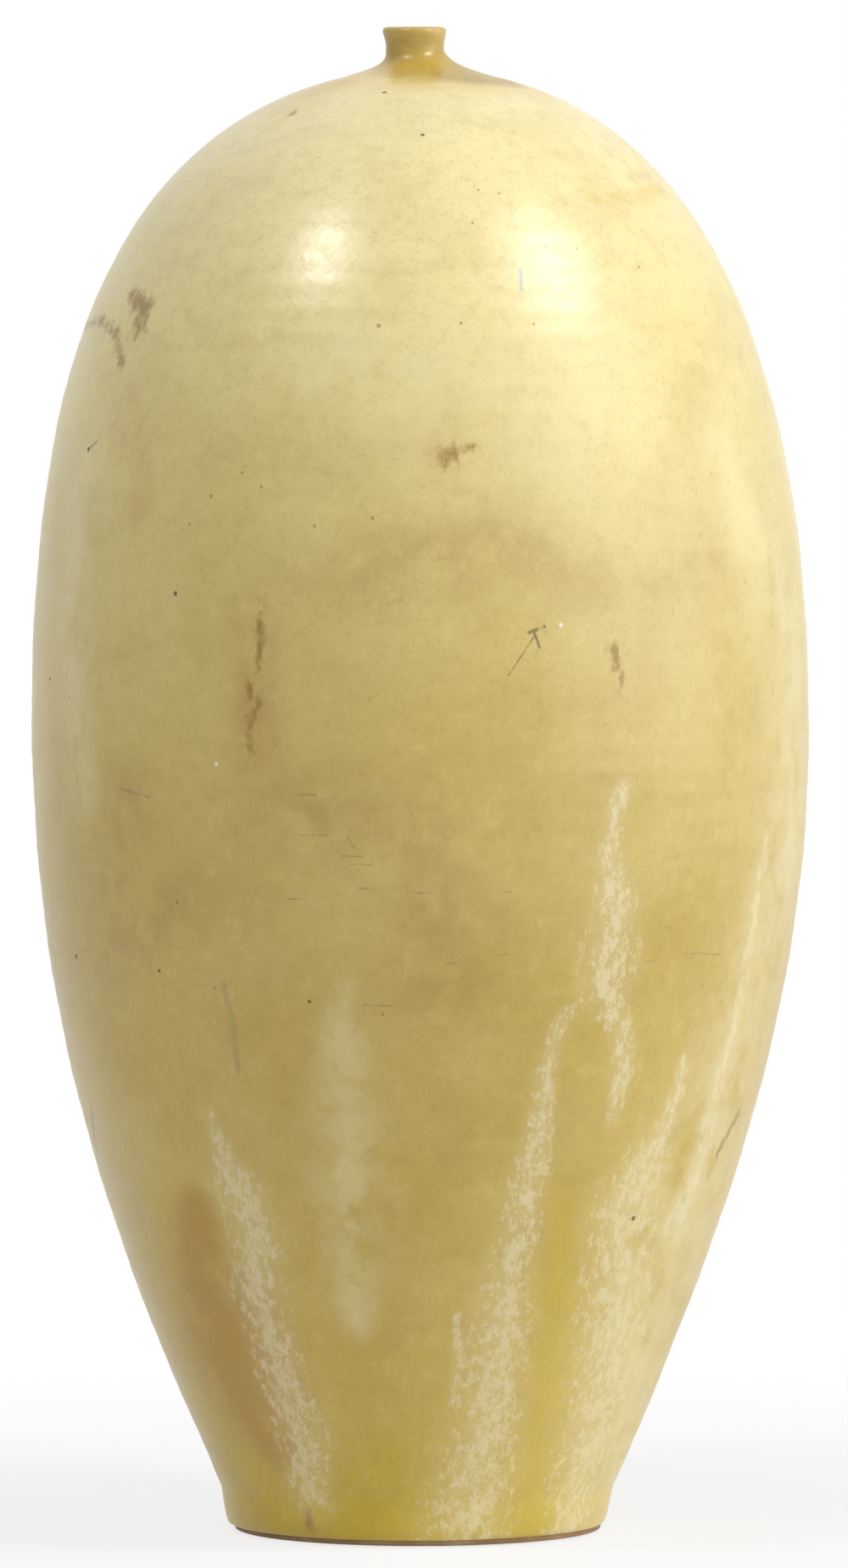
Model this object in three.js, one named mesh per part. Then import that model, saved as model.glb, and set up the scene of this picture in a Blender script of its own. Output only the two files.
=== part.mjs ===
// A tall wheel-thrown stoneware bottle with a pinched neck and a small flared lip.
// Lengths are millimetres, +Z is up, and the origin is the middle of the foot's resting face.
// Four clay pieces are luted together: foot ring, lower body, upper body and neck. Each seam is
// stepped and bedded in its own ring of slip. A coat of glaze lies outside and another inside.
import * as THREE from 'three';

// Outer shape, measured over the glaze
const HEIGHT = 280;
const BELLY_RADIUS = 72.3;
const BELLY_HEIGHT = 150;
const FOOT_BAND_RADIUS = 36.66;
const FOOT_BAND_HEIGHT = 8;
const COLLAR_RADIUS = 14;
const COLLAR_DEPTH = 9.3; // from the top of the lip down to the collar's seam
const WAIST_RADIUS = 5.38;
const WAIST_DEPTH = 3.8; // from the top of the lip down to the neck's narrowest place
const LIP_RADIUS = 5.9;
const LIP_ROUND = 0.8;
const LIP_STRAIGHT = 0.4; // share of the flare's height over which it leaves the waist upright
const LIP_UPRIGHT = 0.3; // share over which it meets the lip upright

// Fullness of the curves between those places
const WALL_FLARE = new THREE.Vector2(22, 48.9);
const WALL_TURN = 51.3;
const DOME_RISE = 68.9;
const DOME_CROWN = new THREE.Vector2(39.6, -9.1);
const COLLAR_SWEEP = new THREE.Vector2(-5.4, 1.65);
const COLLAR_TURN = 3;
const FOOT_FULLNESS = 0.25; // height share of the point that swells the foot band

// Clay, slip and glaze
const FLOOR_THICKNESS = 6;
const FOOT_WALL = 4.5;
const BELLY_WALL = 4;
const SHOULDER_WALL = 3.4;
const GLAZE = 0.5;
const LINER = 0.4;
const COAT_GAP = 0.3; // between the clay and each coat of glaze
const SLIP = 0.4;
const BORE_RADIUS = 3.2;

// Foot ring
const RECESS_DEPTH = 5;
const RING_INNER_RADIUS = 28.5;
const RING_CONTACT_RADIUS = 33.8;
const RING_CHAMFER = 0.4;
const BARE_BAND = 1.1; // unglazed clay above the resting face
const GLAZE_EDGE_RADIUS = 34.9;

// Stepped seams
const BELLY_STEP = 4;
const BELLY_TONGUE = 1.8;
const COLLAR_LEDGE = 3.5;
const COLLAR_LEDGE_THICKNESS = 1.4;
const COLLAR_FLANGE = 1;
const SPIGOT_WALL = 1.8;

// Fineness of the faceted surfaces
const SEGMENTS = 32;
const FOOT_STEPS = 3;
const WALL_STEPS = 8;
const DOME_STEPS = 10;
const COLLAR_STEPS = 6;
const LIP_STEPS = 3;

// Places that follow from the sizes above
const coat = GLAZE + COAT_GAP;
const slipTop = BELLY_HEIGHT + SLIP;
const collarHeight = HEIGHT - COLLAR_DEPTH;
const waistHeight = HEIGHT - WAIST_DEPTH;
const lipHeight = HEIGHT - LIP_ROUND;
const floorTop = RECESS_DEPTH + FLOOR_THICKNESS;
const footMiddleRadius = (GLAZE_EDGE_RADIUS + FOOT_BAND_RADIUS) / 2;
const footClayRadius = FOOT_BAND_RADIUS - coat;
const bellyClayRadius = BELLY_RADIUS - coat;
const bellyInnerRadius = bellyClayRadius - BELLY_WALL;
const tongueRadius = bellyInnerRadius + BELLY_TONGUE;
const collarTop = collarHeight - coat;
const flangeUnderside = collarTop - COLLAR_FLANGE;
const ledgeTop = flangeUnderside - SLIP;
const collarFloor = ledgeTop - COLLAR_LEDGE_THICKNESS;
const ledgeRadius = COLLAR_RADIUS - COLLAR_LEDGE;

const at = (radius, height) => new THREE.Vector2(radius, height);

// The four curves of the outline, from the glaze edge up to the neck's waist
const footCurve = new THREE.QuadraticBezierCurve(
  at(GLAZE_EDGE_RADIUS, BARE_BAND),
  at(footMiddleRadius, BARE_BAND + (FOOT_BAND_HEIGHT - BARE_BAND) * FOOT_FULLNESS),
  at(FOOT_BAND_RADIUS, FOOT_BAND_HEIGHT),
);
const wallCurve = new THREE.CubicBezierCurve(
  at(FOOT_BAND_RADIUS, FOOT_BAND_HEIGHT),
  at(FOOT_BAND_RADIUS + WALL_FLARE.x, FOOT_BAND_HEIGHT + WALL_FLARE.y),
  at(BELLY_RADIUS, BELLY_HEIGHT - WALL_TURN),
  at(BELLY_RADIUS, BELLY_HEIGHT),
);
const domeCurve = new THREE.CubicBezierCurve(
  at(BELLY_RADIUS, slipTop),
  at(BELLY_RADIUS, slipTop + DOME_RISE),
  at(COLLAR_RADIUS + DOME_CROWN.x, collarHeight + DOME_CROWN.y),
  at(COLLAR_RADIUS, collarHeight),
);
const collarCurve = new THREE.CubicBezierCurve(
  at(COLLAR_RADIUS, collarHeight),
  at(COLLAR_RADIUS + COLLAR_SWEEP.x, collarHeight + COLLAR_SWEEP.y),
  at(WAIST_RADIUS, waistHeight - COLLAR_TURN),
  at(WAIST_RADIUS, waistHeight),
);

// Points along a curve, sunk square to it by a depth that runs evenly from one end to the other
function sunk(curve, steps, startDepth, endDepth = startDepth) {
  return Array.from({ length: steps + 1 }, (_, index) => {
    const share = index / steps;
    const depth = THREE.MathUtils.lerp(startDepth, endDepth, share);
    const point = curve.getPoint(share);
    const tangent = curve.getTangent(share);
    return at(point.x - tangent.y * depth, point.y + tangent.x * depth);
  });
}

const footFace = (depth) => sunk(footCurve, FOOT_STEPS, depth);
const wallFace = (depth) => sunk(wallCurve, WALL_STEPS, depth);
const domeFace = (depth) => sunk(domeCurve, DOME_STEPS, depth);
const collarFace = (depth) => sunk(collarCurve, COLLAR_STEPS, depth);

// Inner faces of the hollow body, a chosen depth inside the clay's own inner face
function wallBack(depth) {
  const points = sunk(wallCurve, WALL_STEPS, coat + FOOT_WALL + depth, coat + BELLY_WALL + depth);
  return points.slice(1);
}

function domeBack(depth) {
  const points = sunk(domeCurve, DOME_STEPS, coat + BELLY_WALL + depth, coat + SHOULDER_WALL + depth);
  return points.slice(1);
}

// Turns one closed outline about the upright axis
function turned(outline) {
  const geometry = new THREE.LatheGeometry([...outline, outline[0]], SEGMENTS);
  return geometry.rotateX(Math.PI / 2);
}

// Turns an outline that starts and ends on the axis
function turnedSolid(outline) {
  return new THREE.LatheGeometry(outline, SEGMENTS).rotateX(Math.PI / 2);
}

function footRing() {
  const clay = footFace(coat).slice(0, -1);
  return turned([
    at(RING_INNER_RADIUS + RING_CHAMFER, 0),
    at(RING_CONTACT_RADIUS, 0),
    at(RING_CONTACT_RADIUS + RING_CHAMFER / 2, RING_CHAMFER),
    ...clay,
    at(footClayRadius, FOOT_BAND_HEIGHT),
    at(RING_INNER_RADIUS, FOOT_BAND_HEIGHT),
    at(RING_INNER_RADIUS, RING_CHAMFER),
  ]);
}

// Bed of slip under the body, between the ring and the spigot that locates it
function footSlipJoint() {
  return turned([
    at(RING_INNER_RADIUS - SLIP, RECESS_DEPTH),
    at(RING_INNER_RADIUS, RECESS_DEPTH),
    at(RING_INNER_RADIUS, FOOT_BAND_HEIGHT),
    at(footClayRadius, FOOT_BAND_HEIGHT),
    at(footClayRadius, FOOT_BAND_HEIGHT + SLIP),
    at(RING_INNER_RADIUS - SLIP, FOOT_BAND_HEIGHT + SLIP),
  ]);
}

function floorRadius() {
  return footClayRadius - FOOT_WALL;
}

// Floor, spigot and flared wall in one thrown piece, with a tongue round its top
function lowerBody() {
  return turnedSolid([
    at(0, RECESS_DEPTH),
    at(RING_INNER_RADIUS - SLIP, RECESS_DEPTH),
    at(RING_INNER_RADIUS - SLIP, FOOT_BAND_HEIGHT + SLIP),
    at(footClayRadius, FOOT_BAND_HEIGHT + SLIP),
    ...wallFace(coat).slice(1),
    at(tongueRadius, BELLY_HEIGHT),
    at(tongueRadius, BELLY_HEIGHT + BELLY_STEP),
    at(bellyInnerRadius, BELLY_HEIGHT + BELLY_STEP),
    ...wallBack(0).reverse(),
    at(floorRadius(), floorTop),
    at(0, floorTop),
  ]);
}

// Slip over the lower body's rim, up its tongue and over the tongue's top
function bellySlipJoint() {
  const tongueTop = BELLY_HEIGHT + BELLY_STEP;
  return turned([
    at(tongueRadius, BELLY_HEIGHT),
    at(bellyClayRadius, BELLY_HEIGHT),
    at(bellyClayRadius, slipTop),
    at(tongueRadius + SLIP, slipTop),
    at(tongueRadius + SLIP, tongueTop + SLIP),
    at(bellyInnerRadius, tongueTop + SLIP),
    at(bellyInnerRadius, tongueTop),
    at(tongueRadius, tongueTop),
  ]);
}

// Domed shoulder, with a skirt over the tongue below and a ledge for the collar above
function upperBody() {
  const grooveTop = slipTop + BELLY_STEP;
  return turned([
    at(tongueRadius + SLIP, slipTop),
    ...domeFace(coat).slice(0, -1),
    at(COLLAR_RADIUS, collarTop),
    at(COLLAR_RADIUS, ledgeTop),
    at(ledgeRadius, ledgeTop),
    at(ledgeRadius, collarFloor),
    ...domeBack(0).reverse(),
    at(bellyInnerRadius, grooveTop),
    at(tongueRadius + SLIP, grooveTop),
  ]);
}

// Slip round the collar's flange, over the ledge and down the collar's spigot
function neckSlipJoint() {
  return turned([
    at(ledgeRadius - SLIP, collarFloor),
    at(ledgeRadius, collarFloor),
    at(ledgeRadius, ledgeTop),
    at(COLLAR_RADIUS, ledgeTop),
    at(COLLAR_RADIUS, collarTop),
    at(COLLAR_RADIUS - SLIP, collarTop),
    at(COLLAR_RADIUS - SLIP, flangeUnderside),
    at(ledgeRadius - SLIP, flangeUnderside),
  ]);
}

// Collar and neck in one piece: a flange, a spigot, a funnel inside, and the flared lip
function neck() {
  const funnelRadius = ledgeRadius - SLIP - SPIGOT_WALL;
  const funnel = new THREE.QuadraticBezierCurve(
    at(BORE_RADIUS, waistHeight - COLLAR_TURN),
    at(BORE_RADIUS, flangeUnderside),
    at(funnelRadius, collarFloor),
  );
  const rimTop = HEIGHT - coat;
  const rimRadius = LIP_RADIUS - coat;
  return turned([
    at(ledgeRadius - SLIP, collarFloor),
    at(ledgeRadius - SLIP, flangeUnderside),
    at(COLLAR_RADIUS - SLIP, flangeUnderside),
    at(COLLAR_RADIUS - SLIP, collarTop),
    ...collarFace(coat).slice(1),
    at(rimRadius, rimTop - COAT_GAP),
    at(rimRadius - COAT_GAP, rimTop),
    at(BORE_RADIUS, rimTop),
    ...funnel.getPoints(COLLAR_STEPS),
  ]);
}

// Outer skin of the lip, from the waist round to the flat of the mouth
function lipFace() {
  const rise = lipHeight - waistHeight;
  const flare = new THREE.CubicBezierCurve(
    at(WAIST_RADIUS, waistHeight),
    at(WAIST_RADIUS, waistHeight + rise * LIP_STRAIGHT),
    at(LIP_RADIUS, lipHeight - rise * LIP_UPRIGHT),
    at(LIP_RADIUS, lipHeight),
  );
  const roll = new THREE.EllipseCurve(
    LIP_RADIUS - LIP_ROUND,
    lipHeight,
    LIP_ROUND,
    LIP_ROUND,
    0,
    Math.PI / 2,
  );
  return [...flare.getPoints(LIP_STEPS).slice(1), ...roll.getPoints(LIP_STEPS).slice(1)];
}

// Coat of glaze from the bare clay band up the whole outside and over the lip
function outerGlaze() {
  const skin = [
    ...footFace(0),
    ...wallFace(0).slice(1),
    ...domeFace(0),
    ...collarFace(0).slice(1),
    ...lipFace(),
    at(BORE_RADIUS, HEIGHT),
  ];
  const back = [
    at(BORE_RADIUS, HEIGHT - GLAZE),
    at(LIP_RADIUS - GLAZE - COAT_GAP, HEIGHT - GLAZE),
    at(LIP_RADIUS - GLAZE, HEIGHT - GLAZE - COAT_GAP),
    ...collarFace(GLAZE).reverse(),
    ...domeFace(GLAZE).reverse().slice(1),
    ...wallFace(GLAZE).reverse(),
    ...footFace(GLAZE).reverse(),
  ];
  return turned([...skin, ...back]);
}

// Lining of glaze over the floor and the hollow wall, open at the collar
function innerGlaze() {
  const outside = COAT_GAP;
  const inside = COAT_GAP + LINER;
  return turnedSolid([
    at(0, floorTop + outside),
    at(floorRadius() - outside, floorTop + outside),
    ...wallBack(outside),
    ...domeBack(outside),
    ...domeBack(inside).reverse(),
    ...wallBack(inside).reverse(),
    at(floorRadius() - inside - LINER, floorTop + inside),
    at(0, floorTop + inside),
  ]);
}

const bareClay = { color: 0xb59a72, roughness: 0.9, metalness: 0 };
const firedSlip = { color: 0x9c7f55, roughness: 0.9, metalness: 0 };
const straw = { color: 0xd2bb78, roughness: 0.25, metalness: 0 };
const honey = { color: 0xb8995a, roughness: 0.35, metalness: 0 };

const pieces = [
  ['foot_ring', footRing(), bareClay],
  ['foot_slip_joint', footSlipJoint(), firedSlip],
  ['lower_body', lowerBody(), bareClay],
  ['belly_slip_joint', bellySlipJoint(), firedSlip],
  ['upper_body', upperBody(), bareClay],
  ['neck_slip_joint', neckSlipJoint(), firedSlip],
  ['neck', neck(), bareClay],
  ['outer_glaze', outerGlaze(), straw],
  ['inner_glaze', innerGlaze(), honey],
];

const vase = new THREE.Group();
for (const [name, geometry, look] of pieces) {
  const mesh = new THREE.Mesh(geometry, new THREE.MeshStandardMaterial(look));
  mesh.name = name;
  vase.add(mesh);
}

export default vase;
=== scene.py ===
"""A glazed stoneware bottle vase: its visible glaze, bare clay and slip, on a pale floor.

Positions are metres in the part's own frame: +Z is up and the photographed side faces -Y.
Marks on the glaze are placed by their pixel in the 1000 by 1849 photograph. Each pixel is sent
along the camera's ray onto the turned surface, so a mark keeps its place from every side.
"""
import math

import bpy
import numpy as np
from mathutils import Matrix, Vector


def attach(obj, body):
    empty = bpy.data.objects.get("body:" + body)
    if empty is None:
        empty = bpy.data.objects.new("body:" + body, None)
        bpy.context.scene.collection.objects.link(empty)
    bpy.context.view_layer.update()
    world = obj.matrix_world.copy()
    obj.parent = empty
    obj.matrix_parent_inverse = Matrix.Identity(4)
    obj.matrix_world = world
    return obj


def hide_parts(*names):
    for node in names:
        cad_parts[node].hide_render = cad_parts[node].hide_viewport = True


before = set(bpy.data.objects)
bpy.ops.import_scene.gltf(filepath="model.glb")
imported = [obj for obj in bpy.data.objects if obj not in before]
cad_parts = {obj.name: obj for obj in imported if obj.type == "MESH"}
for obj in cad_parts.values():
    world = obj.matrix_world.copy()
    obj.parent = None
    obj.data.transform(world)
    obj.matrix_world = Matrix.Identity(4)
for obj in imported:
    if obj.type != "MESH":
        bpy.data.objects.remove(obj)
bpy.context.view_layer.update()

MM = 0.001
PHOTO_WIDTH = 1000
PHOTO_HEIGHT = 1849
PIXEL = 0.1582  # millimetres on the vase for one pixel of the photograph

# Camera, as worked out from the outline of the foot and the lip
CAMERA_DISTANCE = 2.968
CAMERA_HEIGHT = 0.3066
CAMERA_TARGET = Vector((0.001185, 0.0, 0.13907))
CAMERA_LENS = 366.34
CAMERA_REACH = 50
SENSOR = 36.0

# Search for the place where a pixel's ray meets the body
SEARCH_DEPTH = 0.09
SEARCH_STEPS = 400

# Outline of the glaze, as radius and height in millimetres
FOOT_BEAD = [(34.3, 1.7), (34.2, 0.9), (35.0, 0.8), (35.35, 1.9)]
FOOT_BAND = [(35.35, 1.9), (35.9, 3.4), (36.1, 5.6), (36.66, 8.0)]
WALL = [(36.66, 8.0), (58.66, 56.9), (72.3, 98.7), (72.3, 150.0)]
DOME = [(72.3, 150.0), (72.3, 219.2), (53.6, 261.6), (14.0, 270.7)]
COLLAR = [(14.0, 270.7), (8.6, 272.35), (5.38, 273.2), (5.38, 276.2)]
FLARE = [(5.38, 276.2), (5.38, 277.4), (5.9, 278.3), (5.9, 279.25)]
ROLL = [(5.9, 279.25), (5.9, 279.8), (5.4, 280.0), (4.7, 280.0)]
MOUTH = [(4.7, 280.0), (3.6, 280.0), (3.0, 279.4), (3.0, 278.0)]
BORE = [(3.0, 278.0), (3.0, 275.0), (3.0, 272.0), (3.0, 269.0)]

# Rows of points along each curve of the seen face, from the foot up
CURVE_ROWS = [(FOOT_BEAD, 10), (FOOT_BAND, 10), (WALL, 118), (DOME, 118), (COLLAR, 22), (FLARE, 10),
              (ROLL, 8), (MOUTH, 8), (BORE, 6)]
BODY_CURVES = 5  # the curves up to the neck's waist
COLUMNS = 256

# Hidden back of the glaze
GLAZE_BACK = [(3.15, 269.0), (3.15, 278.9), (4.3, 279.3), (5.3, 278.9), (4.95, 276.2)]
GLAZE_THICKNESS = 0.5
BACK_ROWS = [(COLLAR, 5), (DOME, 12), (WALL, 10)]
BACK_FOOT = (34.5, 2.0)

# Bare clay ring under the glaze, with softened edges
FOOT_RING = [(29.1, 0.0), (33.7, 0.0), (34.0, 0.12), (34.2, 0.5), (34.1, 1.6), (35.5, 7.0), (35.6, 8.0),
             (28.5, 8.0), (28.5, 0.7), (28.7, 0.2)]
FOOT_COLUMNS = 192

# How far the thrown wall wanders off its axis, as height and sideways shift in millimetres
WANDER = [(0, -0.3), (14, 0.0), (38, -0.3), (66, -0.1), (130, 0.5), (184, 0.3), (216, -0.2),
          (245, -0.25), (260, 0.0), (270, 0.5), (273, 0.3), (275.5, -0.5), (280, -0.55)]

# Throwing rings: depth in millimetres, turns in radians per millimetre of height, and sway
FINE_RINGS = (0.03, 1.35, 0.8)
BROAD_RINGS = (0.05, 0.31, 1.1)
RING_PHASE = 0.5

# Out-of-round: an oval that twists with the height, a three-sided lobe, and a wavy lip
OVAL_DEPTH = 0.18
OVAL_TWIST = 0.012
LOBE_DEPTH = 0.08
LOBE_PHASE = 1.0
LIP_DEPTH = 0.12
LIP_PHASE = 0.7
LIP_START = 278
LIP_FADE = 2
FOOT_FADE = 20
NECK_START = 272
NECK_FADE = 30

# White crystalline runs, as pixel x, pixel y and half width in pixels
WHITE_RUNS = {
    "right_upper": [(736, 924, 7), (723, 953, 9), (716, 1000, 11), (724, 1075, 22), (720, 1115, 27),
                    (712, 1156, 26), (728, 1200, 13), (736, 1250, 13), (723, 1319, 8)],
    "middle": [(666, 1192, 6), (656, 1217, 8), (642, 1270, 10), (638, 1323, 12), (630, 1361, 16),
               (620, 1420, 19), (604, 1500, 22), (592, 1577, 28), (582, 1650, 28), (566, 1730, 38),
               (552, 1790, 42)],
    "right_edge": [(905, 981, 6), (892, 1040, 8), (883, 1115, 8), (870, 1189, 8), (860, 1236, 9),
                   (848, 1268, 10), (838, 1307, 10), (830, 1370, 14), (800, 1440, 20)],
    "right_mass": [(806, 1249, 6), (800, 1284, 8), (781, 1335, 12), (765, 1370, 26), (736, 1430, 38),
                   (730, 1550, 46), (722, 1636, 50), (690, 1730, 42), (676, 1797, 36)],
    "left": [(246, 1310, 4), (255, 1335, 6), (280, 1400, 22), (302, 1450, 27), (304, 1514, 30),
             (322, 1577, 24), (332, 1625, 26), (346, 1657, 26), (360, 1705, 26), (368, 1762, 22)],
    "middle_vein": [(541, 1552, 4), (543, 1609, 5), (536, 1650, 6)],
}

# Brown and rust stains, in the same form
BROWN_STAINS = {
    "shoulder": [(160, 345, 10), (172, 366, 16), (166, 390, 11)],
    "shoulder_arc": [(104, 384, 6), (122, 377, 7), (140, 395, 7), (145, 430, 7)],
    "rust_spot": [(527, 537, 12), (545, 530, 7), (560, 524, 4)],
    "short_drip": [(720, 765, 9), (727, 790, 6), (736, 813, 4)],
    "vein": [(300, 704, 4), (304, 740, 4), (306, 778, 5), (290, 816, 5), (303, 829, 5), (292, 851, 6),
             (289, 886, 5)],
    "trail": [(871, 1315, 7), (852, 1350, 5), (844, 1370, 4), (836, 1392, 4)],
    "foot_drip": [(365, 1783, 6), (365, 1800, 8)],
    "spot_left": [(140, 1250, 4)],
    "spot_top": [(344, 134, 4)],
}

# Reddish patch of bare-looking iron near the foot
TERRACOTTA = {
    "patch": [(232, 1425, 30), (246, 1494, 56), (268, 1560, 84), (290, 1630, 76), (322, 1695, 40)],
}

# Smoky shadows deep in the glaze
SMOKE = {
    "centre": [(430, 680, 42), (590, 630, 44), (700, 690, 36)],
    "left": [(300, 740, 26), (298, 880, 34)],
    "lower": [(350, 960, 44), (500, 1000, 44), (520, 1140, 66)],
    "left_low": [(150, 940, 40), (130, 1120, 40), (220, 1060, 36)],
    "right": [(760, 690, 26), (830, 660, 24)],
}

# Pale clouds deep in the glaze, mixed with painted light: a paler lit right side, a painted reflection
# down the left edge, and a shoulder band that is partly painted sheen
PALE_CLOUDS_AND_PAINTED_LIGHT = {
    "band": [(402, 1170, 10), (406, 1300, 30), (414, 1420, 34), (424, 1560, 14)],
    # Painted reflection of a bright surface at the far left, running down the left edge
    "left_edge_reflection": [(92, 560, 26), (84, 760, 28), (96, 930, 22)],
    # Pale glaze on the shoulder, partly painted sheen under the two highlights
    "shoulder": [(420, 430, 60), (640, 470, 90)],
    # Painted light: the right side, where the light falls, painted paler from the shoulder down to the
    # foot
    "lit_right_side": [(850, 520, 40), (930, 760, 60), (925, 1000, 70), (880, 1180, 66), (820, 1400, 76),
                   (756, 1600, 76), (715, 1770, 64)],
}

# Faint wide tints of iron under the glaze
IRON_TINTS = {
    "left_shoulder": [(150, 470, 26), (165, 590, 26)],
    "vein_cloud": [(298, 810, 18), (298, 885, 18)],
    "rust_halo": [(527, 537, 24)],
    "left_peach": [(370, 100, 22), (430, 92, 18)],
    "mauve_blot": [(577, 634, 10)],
    "brown_streak": [(742, 208, 5), (765, 205, 5)],
}

# Yellow pools of thicker glaze
YELLOW_POOLS = {
    "drip": [(701, 232, 7), (735, 236, 10), (781, 222, 7)],
    "collar": [(470, 77, 12), (498, 76, 12), (526, 78, 12)],
    "between_runs": [(655, 1400, 14), (650, 1600, 26), (625, 1760, 20)],
    "foot": [(300, 1775, 22), (430, 1790, 26), (520, 1800, 12)],
}

# Turned copies of the runs and stains for the sides and back, as a name and a turn in degrees
BACK_WHITE = [("right_mass", 108), ("left", 165), ("middle", 205), ("right_upper", 150),
              ("right_edge", 118), ("right_upper", 235), ("left", 262)]
BACK_BROWN = [("shoulder", 185), ("vein", 205), ("rust_spot", 150), ("trail", 215), ("short_drip", 110)]
BACK_TINT = [("left_shoulder", 175), ("vein_cloud", 190), ("left_peach", 200)]
BACK_TERRACOTTA = [("patch", 175)]
BACK_SMOKE = [("centre", 110), ("lower", 130), ("left_low", 190), ("centre", 215), ("left", 250)]
# The pale copies also turn painted light round the back: the left edge's painted reflection and the
# shoulder's partly painted sheen
BACK_PALE = [("band", 105), ("left_edge_reflection", 150), ("shoulder", 130), ("shoulder", 240), ("band", 230)]
BACK_YELLOW = [("between_runs", 120), ("between_runs", 200), ("foot", 95), ("foot", 190),
               ("collar", 120), ("collar", 240), ("drip", 180)]

# Masks painted on the glaze: runs, turned copies and softness of the edge
FAMILIES = {
    "white": (WHITE_RUNS, BACK_WHITE, 1.6),
    "brown": (BROWN_STAINS, BACK_BROWN, 1.1),
    "tint": (IRON_TINTS, BACK_TINT, 1.0),
    "yellow": (YELLOW_POOLS, BACK_YELLOW, 1.0),
    "terracotta": (TERRACOTTA, BACK_TERRACOTTA, 0.6),
    "smoke": (SMOKE, BACK_SMOKE, 1.0),
    # The pale mask holds painted light as well as pale clouds
    "pale": (PALE_CLOUDS_AND_PAINTED_LIGHT, BACK_PALE, 1.5),
}
FAR_AWAY = 9.0  # half widths from a run, before any has been measured

# Round marks, as pixel x, pixel y and radius in pixels
PINHOLES = [(451, 109, 3.2), (498, 159, 2.6), (105, 530, 3.4), (206, 700, 3), (89, 1128, 3),
            (748, 1437, 3.2), (57, 801, 2.2), (187, 1145, 2.2), (364, 1181, 2.2)]
SPECKS = [(448, 384, 3), (249, 585, 2.4), (286, 557, 2), (308, 574, 2), (223, 618, 2), (438, 611, 2.2),
          (370, 620, 2), (565, 224, 1.8), (590, 228, 1.8), (645, 291, 2), (559, 263, 1.8), (631, 382, 2),
          (755, 315, 2), (682, 293, 1.8), (545, 381, 2), (252, 1165, 2), (450, 1196, 2), (75, 538, 2),
          (80, 822, 2), (137, 379, 2.4), (207, 1064, 2.6)]
WHITE_DOTS = [(660, 737, 2.6), (253, 901, 2.6)]

# Tool marks and fine cracks, as start x, start y, end x, end y and half width in pixels
DARK_MARKS = [(640, 739, 622, 746, 2.4), (628, 746, 634, 763, 2.0), (628, 750, 597, 797, 1.0),
              (105, 530, 115, 521, 1.6)]
BLUE_MARKS = [(616, 318, 617, 342, 2.6)]
GREEN_MARKS = [(263, 1160, 275, 1210, 4.6), (275, 1210, 281, 1262, 4.6)]
FINE_MARKS = [(140, 930, 175, 940, 1.6), (351, 937, 370, 937, 1.0), (351, 985, 383, 985, 1.1),
              (405, 983, 415, 1000, 1.0), (399, 1009, 424, 1010, 1.0), (411, 1019, 437, 1020, 1.0),
              (421, 1047, 497, 1053, 1.2), (497, 1053, 599, 1052, 1.1), (338, 1060, 357, 1060, 1.0),
              (427, 1185, 462, 1186, 1.0), (525, 1137, 596, 1125, 1.0), (761, 1134, 822, 1124, 1.0),
              (822, 1124, 851, 1126, 1.0)]

# Edge of a small mark, in its own radii, from clear to full
MARK_EDGE = (1.25, 0.55)

# Small marks in the order they are laid on: places, tone and strength
LINE_LAYERS = [(DARK_MARKS, (78, 70, 50), 0.7), (BLUE_MARKS, (150, 176, 206), 0.6),
               (GREEN_MARKS, (132, 138, 92), 0.34), (FINE_MARKS, (116, 104, 74), 0.42)]
LINE_BREAKS = (0.36, 0.52, 0.25)
SPECK_TONE = (132, 96, 44)
SPECK_STRENGTH = 0.6
DOT_TONE = (246, 240, 220)
# Colour and strength of the painted shade inside the pinholes
PIT_SHADE_TONE = (84, 58, 28)
PIT_SHADE_STRENGTH = 0.85

# Colour of the glaze by height in millimetres
GLAZE_TONES = [(0, (208, 178, 16)), (9, (208, 180, 34)), (24, (208, 180, 72)), (70, (206, 178, 84)),
               (110, (204, 176, 86)), (150, (212, 188, 106)), (190, (222, 202, 128)),
               (225, (240, 223, 154)), (262, (246, 232, 176)), (270, (236, 212, 138)),
               (274, (168, 136, 36)), (280, (196, 166, 78))]
TONE_WANDER = 0.05
TONE_WANDER_NOISE = (16, 3, 0.55)

# Noises of the glaze, as grain per metre, detail and roughness
NOISE_MIDDLE = 0.5
PALE_CLOUD_NOISE = (34, 5, 0.55)
DARK_CLOUD_NOISE = (52, 5, 0.6)
MOTTLE_NOISE = (330, 4, 0.62)
GRAIN_NOISE = (1500, 2, 0.55)
RING_NOISE = (260, 2, 0.5)

# Mottling all over: where it starts and is full, strength and tone
PALE_CLOUD = (0.35, 0.68, 0.16, (240, 222, 156))
DARK_CLOUD = (0.55, 0.35, 0.14, (176, 142, 62))
DARK_MOTTLE = (0.52, 0.36, 0.1, (168, 140, 60))
LIGHT_MOTTLE = (0.55, 0.7, 0.12, (246, 232, 180))
DARK_GRAIN = (0.5, 0.3, 0.14, (160, 130, 56))
DARK_RINGS = (0.5, 0.3, 0.07, (170, 140, 70))

# Ragged edges: flecks drawn out downwards, and wide clouds
FLECK_STRETCH = (1.0, 1.0, 0.55)
FLECK_NOISE = (560, 6, 0.72)
CRYSTAL_NOISE = (1500, 4, 0.7)
WIDE_NOISE = (130, 5, 0.62)

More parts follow.
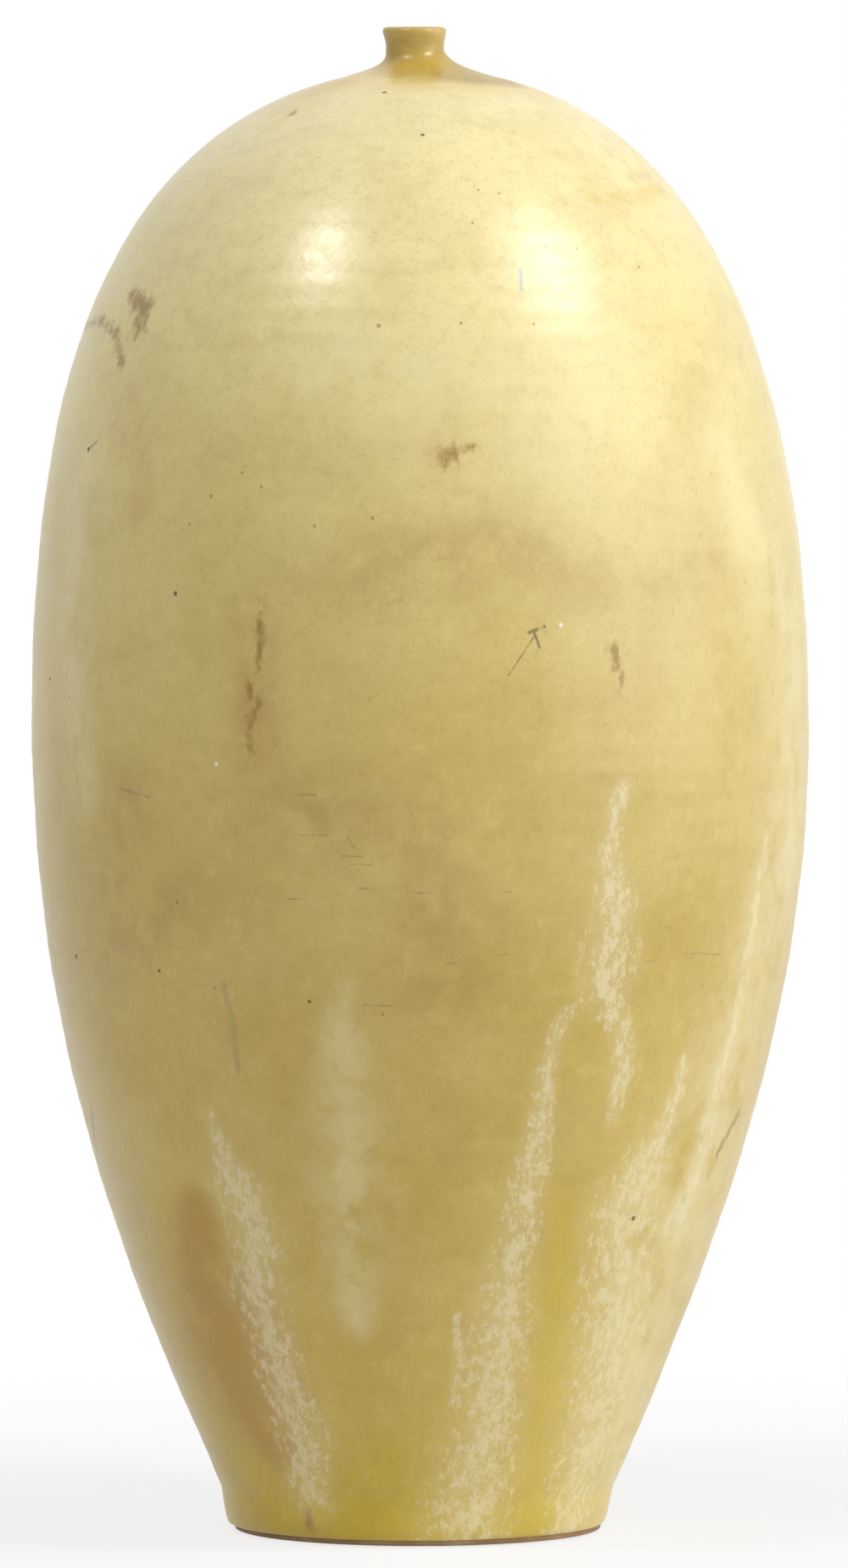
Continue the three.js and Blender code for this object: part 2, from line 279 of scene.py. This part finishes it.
# Painted layers deep in the glaze: mask, edge from and to, least share, strength and tone
DEEP_LAYERS = [("smoke", 0.32, 0.62, 0.0, 0.34, (166, 126, 60)),
               # The pale layer also lays on painted light: a paler lit right side, a reflection down the
               # left edge and partly painted sheen on the shoulder
               ("pale", 0.25, 0.6, 0.0, 0.6, (240, 226, 174)),
               ("yellow", 0.3, 0.6, 0.0, 0.42, (212, 180, 44)),
               ("tint", 0.3, 0.65, 0.0, 0.36, (196, 146, 78)),
               ("terracotta", 0.22, 0.55, 0.35, 0.72, (184, 134, 42))]

# Brown stains: share of the flecks, and where the stain starts and is full
RUST_FLECKS = 2.6
RUST = (0.25, 1.1, 0.78, (148, 106, 18))

# White runs: shares of the flecks and crystals, the edge, the strength and the milky haze
WHITE_FLECKS = 3.4
WHITE_CRYSTALS = 1.6
WHITE_REACH = (0.02, 0.35)
WHITE_EDGE = (0.15, 1.2)
WHITE_STRENGTH = 0.7
WHITE_HAZE = 0.3
WHITE_TONE = (240, 228, 186)

# Scattered specks, one in a few of the cells that fill the glaze
CELL_GRAIN = 105.0
CELL_SHARE = 0.16
CELL_EDGE = (0.045, 0.02, 0.55, (128, 92, 44))

# Gloss and relief of the glaze
GLAZE_ROUGHNESS = (0.3, 0.7, 0.27, 0.36)
WHITE_DRYNESS = 0.16
PIT_DRYNESS = 0.3
PEEL_NOISE = (700, 2, 0.5)
MOTTLE_RELIEF = 0.5
WHITE_RELIEF = 0.5
PIT_RELIEF = -3.0
GLAZE_BUMP = 0.00004
GLAZE_IOR = 1.56

# Dry fired clay and slip, each as a light and a dark tone
BARE_CLAY = ((186, 158, 118), (160, 128, 88))
FIRED_SLIP = ((160, 132, 90), (140, 110, 70))
CLAY_CLOUD_NOISE = (90, 4, 0.55)
CLAY_CLOUD = (0.35, 0.68)
CLAY_GRAIN_NOISE = (2600, 3, 0.7)
CLAY_GRAIN = (0.5, 0.3, 0.4, (112, 84, 52))
CLAY_CELL_GRAIN = 420.0
CLAY_SPECK = (0.16, 0.07, 0.5, (86, 58, 34))
CLAY_ROUGHNESS = (0.3, 0.7, 0.78, 0.95)
TURNING_NOISE = (1400, 2, 0.5)
TURNING_RELIEF = 0.6
CLAY_BUMP = 0.00012

# Honey-coloured lining
LINER_TONES = ((186, 156, 92), (150, 116, 58))
LINER_CLOUD_NOISE = (60, 4, 0.55)
LINER_GRAIN_NOISE = (900, 3, 0.55)
LINER_ROUGHNESS = (0.3, 0.7, 0.28, 0.45)
LINER_BUMP = 0.00006
LINER_IOR = 1.52

# Floor, in metres
FLOOR_SIDES = 96
FLOOR_REACH = 3.4
FLOOR_HEIGHT = -0.0003
FLOOR_COLOUR = (0.86, 0.86, 0.86, 1.0)
WHITE = (1.0, 1.0, 1.0, 1.0)
FLOOR_WHITENING = (0.06, 0.35, 0.78, 1.0)

# Lamps by the pixel that shows their reflection: distance and size in metres, power in watts
LAMPS = [("right_lamp", (650, 315), 1.1, (0.42, 0.42), 5.8),
         ("left_lamp", (386, 295), 1.1, (0.2, 0.2), 3.6),
         ("side_lamp", (865, 606), 1.2, (0.06, 0.12), 0.3)]

# Wide wall of light on the right, and the sky
WALL_LIGHT_TARGET = Vector((0, 0, 0.12))
WALL_LIGHT_DIRECTION = Vector((0.93, -0.36, -0.02))
WALL_LIGHT_DISTANCE = 1.5
WALL_LIGHT_SIZE = (1.6, 2.1)
WALL_LIGHT_POWER = 16.0
SKY_STRENGTH = 0.28


def bezier(corners, count):
    """Points along a cubic, without its first one."""
    p0, p1, p2, p3 = (np.array(corner) for corner in corners)
    share = (np.arange(count) + 1.0)[:, None] / count
    rest = 1 - share
    return rest**3 * p0 + 3 * rest**2 * share * p1 + 3 * rest * share**2 * p2 + share**3 * p3


def glaze_outline():
    """The visible face from the bead at the foot down into the bore."""
    runs = [np.array([FOOT_BEAD[0]])]
    runs += [bezier(corners, count) for corners, count in CURVE_ROWS]
    return np.vstack(runs)


def glaze_back():
    """The hidden face, from the bore's end back down to the foot."""
    rows = [np.array(GLAZE_BACK)]
    for corners, count in BACK_ROWS:
        points = np.vstack([np.array([corners[0]]), bezier(corners, count)])
        along = np.gradient(points, axis=0)
        along /= np.linalg.norm(along, axis=1)[:, None]
        inward = np.column_stack([-along[:, 1], along[:, 0]])
        rows.append((points + inward * GLAZE_THICKNESS)[::-1][1:])
    rows.append(np.array([BACK_FOOT]))
    return np.vstack(rows)


OUTLINE = glaze_outline()
BODY = OUTLINE[: sum(count for _, count in CURVE_ROWS[:BODY_CURVES]) + 1]


def radius_at(height):
    """Radius of the body at a height, both in millimetres."""
    return np.interp(height, BODY[:, 1], BODY[:, 0])


def camera_axes():
    """The camera's place and its forward, right and up directions."""
    place = Vector((0.0, -CAMERA_DISTANCE, CAMERA_HEIGHT))
    forward = (CAMERA_TARGET - place).normalized()
    right = forward.cross(Vector((0, 0, 1))).normalized()
    return place, forward, right, right.cross(forward)


def on_surface(pixel_x, pixel_y):
    """Azimuth in radians and height in millimetres of a pixel's place on the body."""
    place, forward, right, up = camera_axes()
    focal = CAMERA_LENS / SENSOR * PHOTO_HEIGHT
    side = (pixel_x - PHOTO_WIDTH / 2) / focal
    rise = (PHOTO_HEIGHT / 2 - pixel_y) / focal
    ray = forward + right * side + up * rise
    near = (CAMERA_DISTANCE - SEARCH_DEPTH) / ray.y
    far = CAMERA_DISTANCE / ray.y
    steps = np.linspace(near, far, SEARCH_STEPS)
    x = (place.x + ray.x * steps) / MM
    y = (place.y + ray.y * steps) / MM
    z = (place.z + ray.z * steps) / MM
    outside = np.hypot(x, y) - radius_at(z)
    hits = np.nonzero(outside <= 0)[0]
    index = hits[0] if len(hits) else int(np.argmin(outside))
    return math.atan2(x[index], -y[index]), float(z[index])


def surface_point(azimuth, height):
    """Point on the body in metres."""
    radius = float(radius_at(height))
    return Vector((radius * math.sin(azimuth), -radius * math.cos(azimuth), height)) * MM


def placed(run):
    """A run's points as azimuth, height and half width in millimetres."""
    return [(*on_surface(x, y), width * PIXEL) for x, y, width in run]


def turned_run(run, degrees):
    """A placed run moved round the axis."""
    return [(azimuth + math.radians(degrees), height, width) for azimuth, height, width in run]


def run_mask(azimuth, height, radius, run, softness):
    """1 in the middle of a run, 0 outside it, for arrays of places."""
    best = np.full(azimuth.shape, FAR_AWAY)
    ends = run[1:] or run
    for start, end in zip(run, ends):
        turn = (azimuth - start[0] + math.pi) % (2 * math.pi) - math.pi
        across = turn * radius
        up = height - start[1]
        span = (end[0] - start[0]) * float(radius_at((start[1] + end[1]) / 2))
        climb = end[1] - start[1]
        length = span**2 + climb**2
        share = np.clip((across * span + up * climb) / length, 0, 1) if length else 0 * across
        width = start[2] + (end[2] - start[2]) * share
        away = np.hypot(across - span * share, up - climb * share) / width
        best = np.minimum(best, away)
    share = np.clip((1 + softness - best) / (2 * softness), 0, 1)
    return share**2 * (3 - 2 * share)


def paint(azimuth, height, radius, runs, copies, softness):
    """Strongest mask of all runs in a family, with its copies round the back."""
    mask = np.zeros(azimuth.shape)
    front = {name: placed(run) for name, run in runs.items()}
    every = list(front.values()) + [turned_run(front[name], turn) for name, turn in copies]
    for run in every:
        mask = np.maximum(mask, run_mask(azimuth, height, radius, run, softness))
    return mask


def revolve(name, outline, columns, shift=None):
    """A closed turned mesh with smooth faces, and its points' azimuths and heights.

    The outline and the shift are in millimetres.
    """
    azimuth = np.arange(columns) / columns * 2 * math.pi - math.pi
    radius = outline[:, 0][None, :] + np.zeros((columns, 1))
    height = outline[:, 1][None, :] + np.zeros((columns, 1))
    angle = azimuth[:, None] + 0 * radius
    x = radius * np.sin(angle)
    y = -radius * np.cos(angle)
    if shift is not None:
        push, lean = shift(angle, height)
        x += push * np.sin(angle) + lean
        y -= push * np.cos(angle)
    rows = len(outline)
    points = np.stack([x, y, height], axis=-1).reshape(-1, 3) * MM
    faces = []
    for i in range(columns):
        left = i * rows
        right = (i + 1) % columns * rows
        for j in range(rows):
            k = (j + 1) % rows
            faces.append((left + j, right + j, right + k, left + k))
    mesh = bpy.data.meshes.new(name)
    mesh.from_pydata(points.tolist(), [], faces)
    mesh.polygons.foreach_set("use_smooth", [True] * len(faces))
    mesh.update()
    piece = bpy.data.objects.new(name, mesh)
    bpy.context.scene.collection.objects.link(piece)
    return piece, angle.ravel(), height.ravel()


def throwing_rings(angle, height):
    """Fine and broad rings round the wall, in millimetres."""
    depth, rate, sway = FINE_RINGS
    rings = depth * np.sin(height * rate + sway * np.sin(angle + RING_PHASE))
    depth, rate, sway = BROAD_RINGS
    return rings + depth * np.sin(height * rate + sway * np.sin(angle * 2))


def thrown_wall(angle, height):
    """Throwing rings, a slight out-of-round and the wander of the axis, in millimetres."""
    body = np.clip(height / FOOT_FADE, 0, 1) * np.clip((NECK_START - height) / NECK_FADE, 0, 1)
    oval = OVAL_DEPTH * np.cos(2 * angle + height * OVAL_TWIST)
    oval += LOBE_DEPTH * np.cos(3 * angle + LOBE_PHASE)
    at_lip = np.clip((height - LIP_START) / LIP_FADE, 0, 1)
    lip = LIP_DEPTH * np.sin(3 * angle + LIP_PHASE) * at_lip
    heights, shifts = zip(*WANDER)
    push = (throwing_rings(angle, height) + oval) * body + lip
    return push, np.interp(height, heights, shifts)


def srgb(red, green, blue):
    """A display colour of 0 to 255 as the linear colour that a shader takes."""
    linear = [((value / 255 + 0.055) / 1.055) ** 2.4 if value > 10 else value / 255 / 12.92
              for value in (red, green, blue)]
    return (*linear, 1.0)


def add(tree, kind, inputs=None, **settings):
    """A new node with its settings, and its inputs linked or filled in."""
    node = tree.nodes.new(kind)
    for name, value in settings.items():
        setattr(node, name, value)
    for key, value in (inputs or {}).items():
        if isinstance(value, bpy.types.NodeSocket):
            tree.links.new(value, node.inputs[key])
        else:
            node.inputs[key].default_value = value
    return node


def noise(tree, coords, pattern):
    """Noise in the solid. The pattern is its grain per metre, detail and roughness."""
    scale, detail, roughness = pattern
    inputs = {"Vector": coords, "Scale": scale, "Detail": detail, "Roughness": roughness}
    return add(tree, "ShaderNodeTexNoise", inputs).outputs["Fac"]


def math_node(tree, operation, first, second=0.0, third=None, clamp=False):
    """One arithmetic step on two or three values."""
    inputs = {0: first, 1: second}
    if third is not None:
        inputs[2] = third
    return add(tree, "ShaderNodeMath", inputs, operation=operation, use_clamp=clamp).outputs[0]


def ramp(tree, value, low, high, to_low=0.0, to_high=1.0):
    """A smooth step from one value to another."""
    inputs = {"Value": value, "From Min": low, "From Max": high, "To Min": to_low, "To Max": to_high}
    return add(tree, "ShaderNodeMapRange", inputs, interpolation_type="SMOOTHSTEP").outputs["Result"]


def mix(tree, share, first, second):
    """A mix of two colours."""
    return add(tree, "ShaderNodeMix", {0: share, 6: first, 7: second}, data_type="RGBA").outputs[2]


def wash(tree, colour, mask, strength, tone):
    """The colour with a tone laid over it where the mask says."""
    return mix(tree, math_node(tree, "MULTIPLY", mask, strength), colour, srgb(*tone))


def stepped_wash(tree, colour, value, layer):
    """A wash whose mask is a smooth step. The layer is its start, end, strength and tone."""
    low, high, strength, tone = layer
    return wash(tree, colour, ramp(tree, value, low, high), strength, tone)


def along_z(tree, value):
    """Coordinates that change only with a value."""
    return add(tree, "ShaderNodeCombineXYZ", {"Z": value}).outputs[0]


def vector_step(tree, operation, inputs, output=0):
    """One step of vector arithmetic."""
    return add(tree, "ShaderNodeVectorMath", inputs, operation=operation).outputs[output]


def attribute(tree, name):
    """A painted mask of the mesh."""
    return add(tree, "ShaderNodeAttribute", attribute_name=name).outputs["Fac"]


def object_position(tree):
    """Places in the part's own frame."""
    return add(tree, "ShaderNodeTexCoord").outputs["Object"]


def seen_directly(tree):
    """1 where a camera, glossy or transmission ray looks, 0 where diffuse light is gathered."""
    path = add(tree, "ShaderNodeLightPath").outputs
    seen = math_node(tree, "MAXIMUM", path["Is Camera Ray"], path["Is Glossy Ray"])
    return math_node(tree, "MAXIMUM", seen, path["Is Transmission Ray"])


def new_material(name):
    """An empty node material and its tree."""
    material = bpy.data.materials.new(name)
    material.use_nodes = True
    material.node_tree.nodes.clear()
    return material, material.node_tree


def finish_material(tree, inputs, bump_height, bump_distance):
    """The shader, its bump and the output."""
    bump_inputs = {"Height": bump_height, "Distance": bump_distance, "Strength": 1.0}
    bump = add(tree, "ShaderNodeBump", bump_inputs)
    shader = add(tree, "ShaderNodeBsdfPrincipled", {**inputs, "Normal": bump.outputs["Normal"]})
    output = add(tree, "ShaderNodeOutputMaterial")
    tree.links.new(shader.outputs["BSDF"], output.inputs["Surface"])


def mark_group():
    """Mask of one small mark: a round dot, or a thin line from its start to its end."""
    tree = bpy.data.node_groups.new("small_mark", "ShaderNodeTree")
    for socket in ("Position", "Start", "Span"):
        tree.interface.new_socket(name=socket, in_out="INPUT", socket_type="NodeSocketVector")
    tree.interface.new_socket(name="Radius", in_out="INPUT", socket_type="NodeSocketFloat")
    tree.interface.new_socket(name="Mask", in_out="OUTPUT", socket_type="NodeSocketFloat")
    given = add(tree, "NodeGroupInput").outputs
    reach = vector_step(tree, "SUBTRACT", {0: given["Position"], 1: given["Start"]})
    dot = vector_step(tree, "DOT_PRODUCT", {0: reach, 1: given["Span"]}, "Value")
    square = vector_step(tree, "DOT_PRODUCT", {0: given["Span"], 1: given["Span"]}, "Value")
    share = math_node(tree, "DIVIDE", dot, square, clamp=True)
    nearest = vector_step(tree, "SCALE", {0: given["Span"], "Scale": share})
    away = vector_step(tree, "DISTANCE", {0: reach, 1: nearest}, "Value")
    mask = ramp(tree, math_node(tree, "DIVIDE", away, given["Radius"]), *MARK_EDGE)
    output = add(tree, "NodeGroupOutput")
    tree.links.new(mask, output.inputs["Mask"])
    return tree


def marks(tree, group, position, places):
    """Strongest mask of several marks, each a start, a span and a radius in metres."""
    total = None
    for start, span, radius in places:
        inputs = {"Position": position, "Start": start, "Span": span, "Radius": radius}
        mask = add(tree, "ShaderNodeGroup", inputs, node_tree=group).outputs["Mask"]
        total = mask if total is None else math_node(tree, "MAXIMUM", total, mask)
    return total


def skin_point(pixel_x, pixel_y):
    """A pixel's place on the wandering skin, in metres."""
    azimuth, height = on_surface(pixel_x, pixel_y)
    radius = float(radius_at(height))
    push, lean = thrown_wall(np.array(azimuth), np.array(height))
    radius += float(push)
    return Vector((radius * math.sin(azimuth) + float(lean), -radius * math.cos(azimuth), height)) * MM


def dots(places):
    """Round marks from pixels."""
    return [(skin_point(x, y), Vector((0, 0, 0)), size * PIXEL * MM) for x, y, size in places]


def lines(places):
    """Thin straight marks from pixels."""
    made = []
    for start_x, start_y, end_x, end_y, size in places:
        start = skin_point(start_x, start_y)
        made.append((start, skin_point(end_x, end_y) - start, size * PIXEL * MM))
    return made


def wandering_height(tree, position):
    """The height, with a slow wander, so that the tones don't lie in level bands."""
    height = add(tree, "ShaderNodeSeparateXYZ", {0: position}).outputs["Z"]
    drift = noise(tree, position, TONE_WANDER_NOISE)
    centred = math_node(tree, "ADD", height, -TONE_WANDER / 2)
    return math_node(tree, "MULTIPLY_ADD", drift, TONE_WANDER, centred)


def height_tones(tree, wavy):
    """The glaze's ground colour by height."""
    tall = GLAZE_TONES[-1][0] * MM
    place = math_node(tree, "DIVIDE", wavy, tall, clamp=True)
    tones = add(tree, "ShaderNodeValToRGB", {"Fac": place})
    stops = tones.color_ramp.elements
    while len(stops) < len(GLAZE_TONES):
        stops.new(0.5)
    for stop, (level, _) in zip(stops, GLAZE_TONES):
        stop.position = level * MM / tall
    for stop, (_, tone) in zip(stops, GLAZE_TONES):
        stop.color = srgb(*tone)
    return tones.outputs["Color"]


def mottled(tree, position, wavy, mottle, colour):
    """Clouds a few centimetres across, mottling of a few millimetres, fine grain and rings."""
    colour = stepped_wash(tree, colour, noise(tree, position, PALE_CLOUD_NOISE), PALE_CLOUD)
    colour = stepped_wash(tree, colour, noise(tree, position, DARK_CLOUD_NOISE), DARK_CLOUD)
    colour = stepped_wash(tree, colour, mottle, DARK_MOTTLE)
    colour = stepped_wash(tree, colour, mottle, LIGHT_MOTTLE)
    colour = stepped_wash(tree, colour, noise(tree, position, GRAIN_NOISE), DARK_GRAIN)
    return stepped_wash(tree, colour, noise(tree, along_z(tree, wavy), RING_NOISE), DARK_RINGS)


def deep_layers(tree, position, colour):
    """Smoke, pale clouds carrying painted light and a painted reflection, yellow pools, iron tints and
    the reddish patch.
    """
    clouds = noise(tree, position, WIDE_NOISE)
    for name, low, high, least, strength, tone in DEEP_LAYERS:
        ragged = ramp(tree, clouds, low, high, least)
        mask = math_node(tree, "MULTIPLY", attribute(tree, name), ragged)
        colour = wash(tree, colour, mask, strength, tone)
    return colour


def white_mask(tree, stretched, fleck):
    """White runs that break up into flecks and fine crystals, over a milky haze."""
    painted = attribute(tree, "white")
    crystal = math_node(tree, "SUBTRACT", noise(tree, stretched, CRYSTAL_NOISE), NOISE_MIDDLE)
    white = math_node(tree, "MULTIPLY_ADD", fleck, WHITE_FLECKS, painted)
    white = math_node(tree, "MULTIPLY_ADD", crystal, WHITE_CRYSTALS, white)
    white = math_node(tree, "MULTIPLY", white, ramp(tree, painted, *WHITE_REACH))
    white = math_node(tree, "MULTIPLY", ramp(tree, white, *WHITE_EDGE), WHITE_STRENGTH)
    return math_node(tree, "MAXIMUM", white, math_node(tree, "MULTIPLY", painted, WHITE_HAZE))


def scattered_specks(tree, position, colour):
    """Tiny iron specks all over."""
    cells = add(tree, "ShaderNodeTexVoronoi", {"Vector": position, "Scale": CELL_GRAIN})
    draw = add(tree, "ShaderNodeSeparateColor", {0: cells.outputs["Color"]}).outputs[0]
    chosen = math_node(tree, "LESS_THAN", draw, CELL_SHARE)
    low, high, strength, tone = CELL_EDGE
    speck = math_node(tree, "MULTIPLY", ramp(tree, cells.outputs["Distance"], low, high), chosen)
    return wash(tree, colour, speck, strength, tone)


def small_marks(tree, position, rag, colour):
    """The specks, tool marks and pits that have a place of their own, the pits darkened with painted
    shade, and the pits' mask.
    """
    group = mark_group()
    specks = marks(tree, group, position, dots(SPECKS))
    colour = wash(tree, colour, specks, SPECK_STRENGTH, SPECK_TONE)
    broken = ramp(tree, rag, *LINE_BREAKS)
    for places, tone, strength in LINE_LAYERS:
        found = math_node(tree, "MULTIPLY", marks(tree, group, position, lines(places)), broken)
        colour = wash(tree, colour, found, strength, tone)
    bright = marks(tree, group, position, dots(WHITE_DOTS))
    colour = mix(tree, bright, colour, srgb(*DOT_TONE))
    pits = marks(tree, group, position, dots(PINHOLES))
    # Painted shade darkens the pinholes
    return wash(tree, colour, pits, PIT_SHADE_STRENGTH, PIT_SHADE_TONE), pits


def glaze_material():
    """Satin straw-yellow ash glaze with white runs, iron stains, pits and fine tool marks, with painted
    shade in the pits and painted light in the pale layer.
    """
    material, tree = new_material("ash_glaze")
    position = object_position(tree)
    wavy = wandering_height(tree, position)
    mottle = noise(tree, position, MOTTLE_NOISE)
    colour = mottled(tree, position, wavy, mottle, height_tones(tree, wavy))
    colour = deep_layers(tree, position, colour)

    stretched = vector_step(tree, "MULTIPLY", {0: position, 1: FLECK_STRETCH})
    rag = noise(tree, stretched, FLECK_NOISE)
    fleck = math_node(tree, "SUBTRACT", rag, NOISE_MIDDLE)
    rust = math_node(tree, "MULTIPLY_ADD", fleck, RUST_FLECKS, attribute(tree, "brown"))
    colour = stepped_wash(tree, colour, rust, RUST)
    white = white_mask(tree, stretched, fleck)
    colour = mix(tree, white, colour, srgb(*WHITE_TONE))
    colour = scattered_specks(tree, position, colour)
    colour, pits = small_marks(tree, position, rag, colour)

    # Glossy glaze, drier on the white runs and in the pits
    gloss = ramp(tree, mottle, *GLAZE_ROUGHNESS)
    gloss = math_node(tree, "MULTIPLY_ADD", white, WHITE_DRYNESS, gloss)
    gloss = math_node(tree, "MULTIPLY_ADD", pits, PIT_DRYNESS, gloss)
    relief = math_node(tree, "MULTIPLY_ADD", mottle, MOTTLE_RELIEF, noise(tree, position, PEEL_NOISE))
    relief = math_node(tree, "MULTIPLY_ADD", white, WHITE_RELIEF, relief)
    relief = math_node(tree, "MULTIPLY_ADD", pits, PIT_RELIEF, relief)
    inputs = {"Base Color": colour, "Roughness": gloss, "IOR": GLAZE_IOR}
    finish_material(tree, inputs, relief, GLAZE_BUMP)
    return material


def clay_material(name, light, dark):
    """Dry fired clay: sandy grain, dark iron specks and fine turning lines."""
    material, tree = new_material(name)
    position = object_position(tree)
    cloud = ramp(tree, noise(tree, position, CLAY_CLOUD_NOISE), *CLAY_CLOUD)
    colour = mix(tree, cloud, srgb(*light), srgb(*dark))
    grain = noise(tree, position, CLAY_GRAIN_NOISE)
    colour = stepped_wash(tree, colour, grain, CLAY_GRAIN)
    cells = add(tree, "ShaderNodeTexVoronoi", {"Vector": position, "Scale": CLAY_CELL_GRAIN})
    colour = stepped_wash(tree, colour, cells.outputs["Distance"], CLAY_SPECK)
    flat = vector_step(tree, "MULTIPLY", {0: position, 1: (1.0, 1.0, 0.0)})
    out = vector_step(tree, "LENGTH", {0: flat}, "Value")
    from_axis = add(tree, "ShaderNodeCombineXYZ", {"X": out}).outputs[0]
    turning = noise(tree, from_axis, TURNING_NOISE)
    relief = math_node(tree, "MULTIPLY_ADD", turning, TURNING_RELIEF, grain)
    rough = ramp(tree, grain, *CLAY_ROUGHNESS)
    finish_material(tree, {"Base Color": colour, "Roughness": rough}, relief, CLAY_BUMP)
    return material


def liner_material():
    """Thin honey-coloured glaze inside."""
    material, tree = new_material("honey_liner")
    position = object_position(tree)
    cloud = ramp(tree, noise(tree, position, LINER_CLOUD_NOISE), *CLAY_CLOUD)
    light, dark = LINER_TONES
    colour = mix(tree, cloud, srgb(*light), srgb(*dark))
    grain = noise(tree, position, LINER_GRAIN_NOISE)
    rough = ramp(tree, grain, *LINER_ROUGHNESS)
    inputs = {"Base Color": colour, "Roughness": rough, "IOR": LINER_IOR}
    finish_material(tree, inputs, grain, LINER_BUMP)
    return material


def make_glaze():
    """The whole visible coat of glaze, with its masks painted on the points."""
    outline = np.vstack([OUTLINE, glaze_back()])
    piece, azimuth, height = revolve("glaze_coat", outline, COLUMNS, thrown_wall)
    reach = radius_at(height)
    for name, (runs, copies, softness) in FAMILIES.items():
        mask = paint(azimuth, height, reach, runs, copies, softness)
        layer = piece.data.attributes.new(name, "FLOAT", "POINT")
        layer.data.foreach_set("value", mask.astype(np.float32))
    piece.data.materials.append(glaze_material())
    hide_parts("outer_glaze")
    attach(piece, "root")


def make_foot(clay):
    """The bare clay ring under the glaze."""
    piece, *_ = revolve("foot_ring_clay", np.array(FOOT_RING), FOOT_COLUMNS)
    piece.data.materials.append(clay)
    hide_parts("foot_ring")
    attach(piece, "root")


def dress_nodes(looks):
    """Materials on the frame's own pieces."""
    for name, material in looks.items():
        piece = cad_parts[name]
        if not piece.data.materials:
            piece.data.materials.append(material)
        for slot in piece.material_slots:
            slot.material = material


def floor_material():
    """Pale floor that looks near white to the camera and keeps the shadow."""
    material, tree = new_material("pale_floor")
    pale = add(tree, "ShaderNodeBsdfDiffuse", {"Color": FLOOR_COLOUR}).outputs[0]
    white = add(tree, "ShaderNodeEmission", {"Color": WHITE, "Strength": 1.0}).outputs[0]
    away = vector_step(tree, "LENGTH", {0: object_position(tree)}, "Value")
    whitening = ramp(tree, away, *FLOOR_WHITENING)
    share = math_node(tree, "MULTIPLY", seen_directly(tree), whitening)
    blend = add(tree, "ShaderNodeMixShader", {0: share, 1: pale, 2: white})
    output = add(tree, "ShaderNodeOutputMaterial")
    tree.links.new(blend.outputs[0], output.inputs["Surface"])
    return material


def make_floor():
    """A wide flat floor, open all round so that the vase can be seen from every side."""
    turns = [step / FLOOR_SIDES * 2 * math.pi for step in range(FLOOR_SIDES)]
    points = [(FLOOR_REACH * math.cos(turn), FLOOR_REACH * math.sin(turn), FLOOR_HEIGHT)
              for turn in turns]
    mesh = bpy.data.meshes.new("floor")
    mesh.from_pydata(points, [], [tuple(range(FLOOR_SIDES))])
    floor = bpy.data.objects.new("floor", mesh)
    bpy.context.scene.collection.objects.link(floor)
    mesh.materials.append(floor_material())


def reflected(pixel_x, pixel_y):
    """A surface point and the direction in which the camera sees a reflection there."""
    azimuth, height = on_surface(pixel_x, pixel_y)
    slope = float(radius_at(height + 1) - radius_at(height - 1)) / 2
    normal = Vector((math.sin(azimuth), -math.cos(azimuth), -slope)).normalized()
    point = surface_point(azimuth, height)
    view = (camera_axes()[0] - point).normalized()
    return point, (2 * normal.dot(view) * normal - view).normalized()


def add_lamp(name, point, direction, distance, size, power):
    """A soft oval lamp that looks back at a point from a direction."""
    data = bpy.data.lights.new(name, "AREA")
    data.shape = "ELLIPSE"
    data.size, data.size_y = size
    data.energy = power
    lamp = bpy.data.objects.new(name, data)
    lamp.location = point + direction * distance
    lamp.rotation_euler = (-direction).to_track_quat("-Z", "Y").to_euler()
    bpy.context.scene.collection.objects.link(lamp)


def make_sky():
    """An even sky that shows white behind the vase."""
    world = bpy.data.worlds.new("even_sky")
    bpy.context.scene.world = world
    world.use_nodes = True
    tree = world.node_tree
    tree.nodes.clear()
    strength = ramp(tree, seen_directly(tree), 0.0, 1.0, SKY_STRENGTH, 1.0)
    sky = add(tree, "ShaderNodeBackground", {"Color": WHITE, "Strength": strength})
    output = add(tree, "ShaderNodeOutputWorld")
    tree.links.new(sky.outputs["Background"], output.inputs["Surface"])


def make_lights():
    """Three lamps that show in the glaze, and a wide pale wall of light from the right."""
    for name, pixel, distance, size, power in LAMPS:
        point, direction = reflected(*pixel)
        add_lamp(name, point, direction, distance, size, power)
    add_lamp("right_wall", WALL_LIGHT_TARGET, WALL_LIGHT_DIRECTION.normalized(), WALL_LIGHT_DISTANCE,
             WALL_LIGHT_SIZE, WALL_LIGHT_POWER)


def make_camera():
    """The photograph's view."""
    place, forward, _, _ = camera_axes()
    data = bpy.data.cameras.new("photo_view")
    data.lens = CAMERA_LENS
    data.sensor_width = SENSOR
    data.clip_end = CAMERA_REACH
    camera = bpy.data.objects.new("photo_view", data)
    camera.location = place
    camera.rotation_euler = forward.to_track_quat("-Z", "Y").to_euler()
    bpy.context.scene.collection.objects.link(camera)
    bpy.context.scene.camera = camera


make_camera()
bare_clay = clay_material("bare_clay", *BARE_CLAY)
fired_slip = clay_material("fired_slip", *FIRED_SLIP)
make_glaze()
make_foot(bare_clay)
dress_nodes({
    "lower_body": bare_clay,
    "upper_body": bare_clay,
    "neck": bare_clay,
    "foot_slip_joint": fired_slip,
    "belly_slip_joint": fired_slip,
    "neck_slip_joint": fired_slip,
    "inner_glaze": liner_material(),
})
make_floor()
make_lights()
make_sky()
bpy.context.scene.view_settings.view_transform = "Standard"
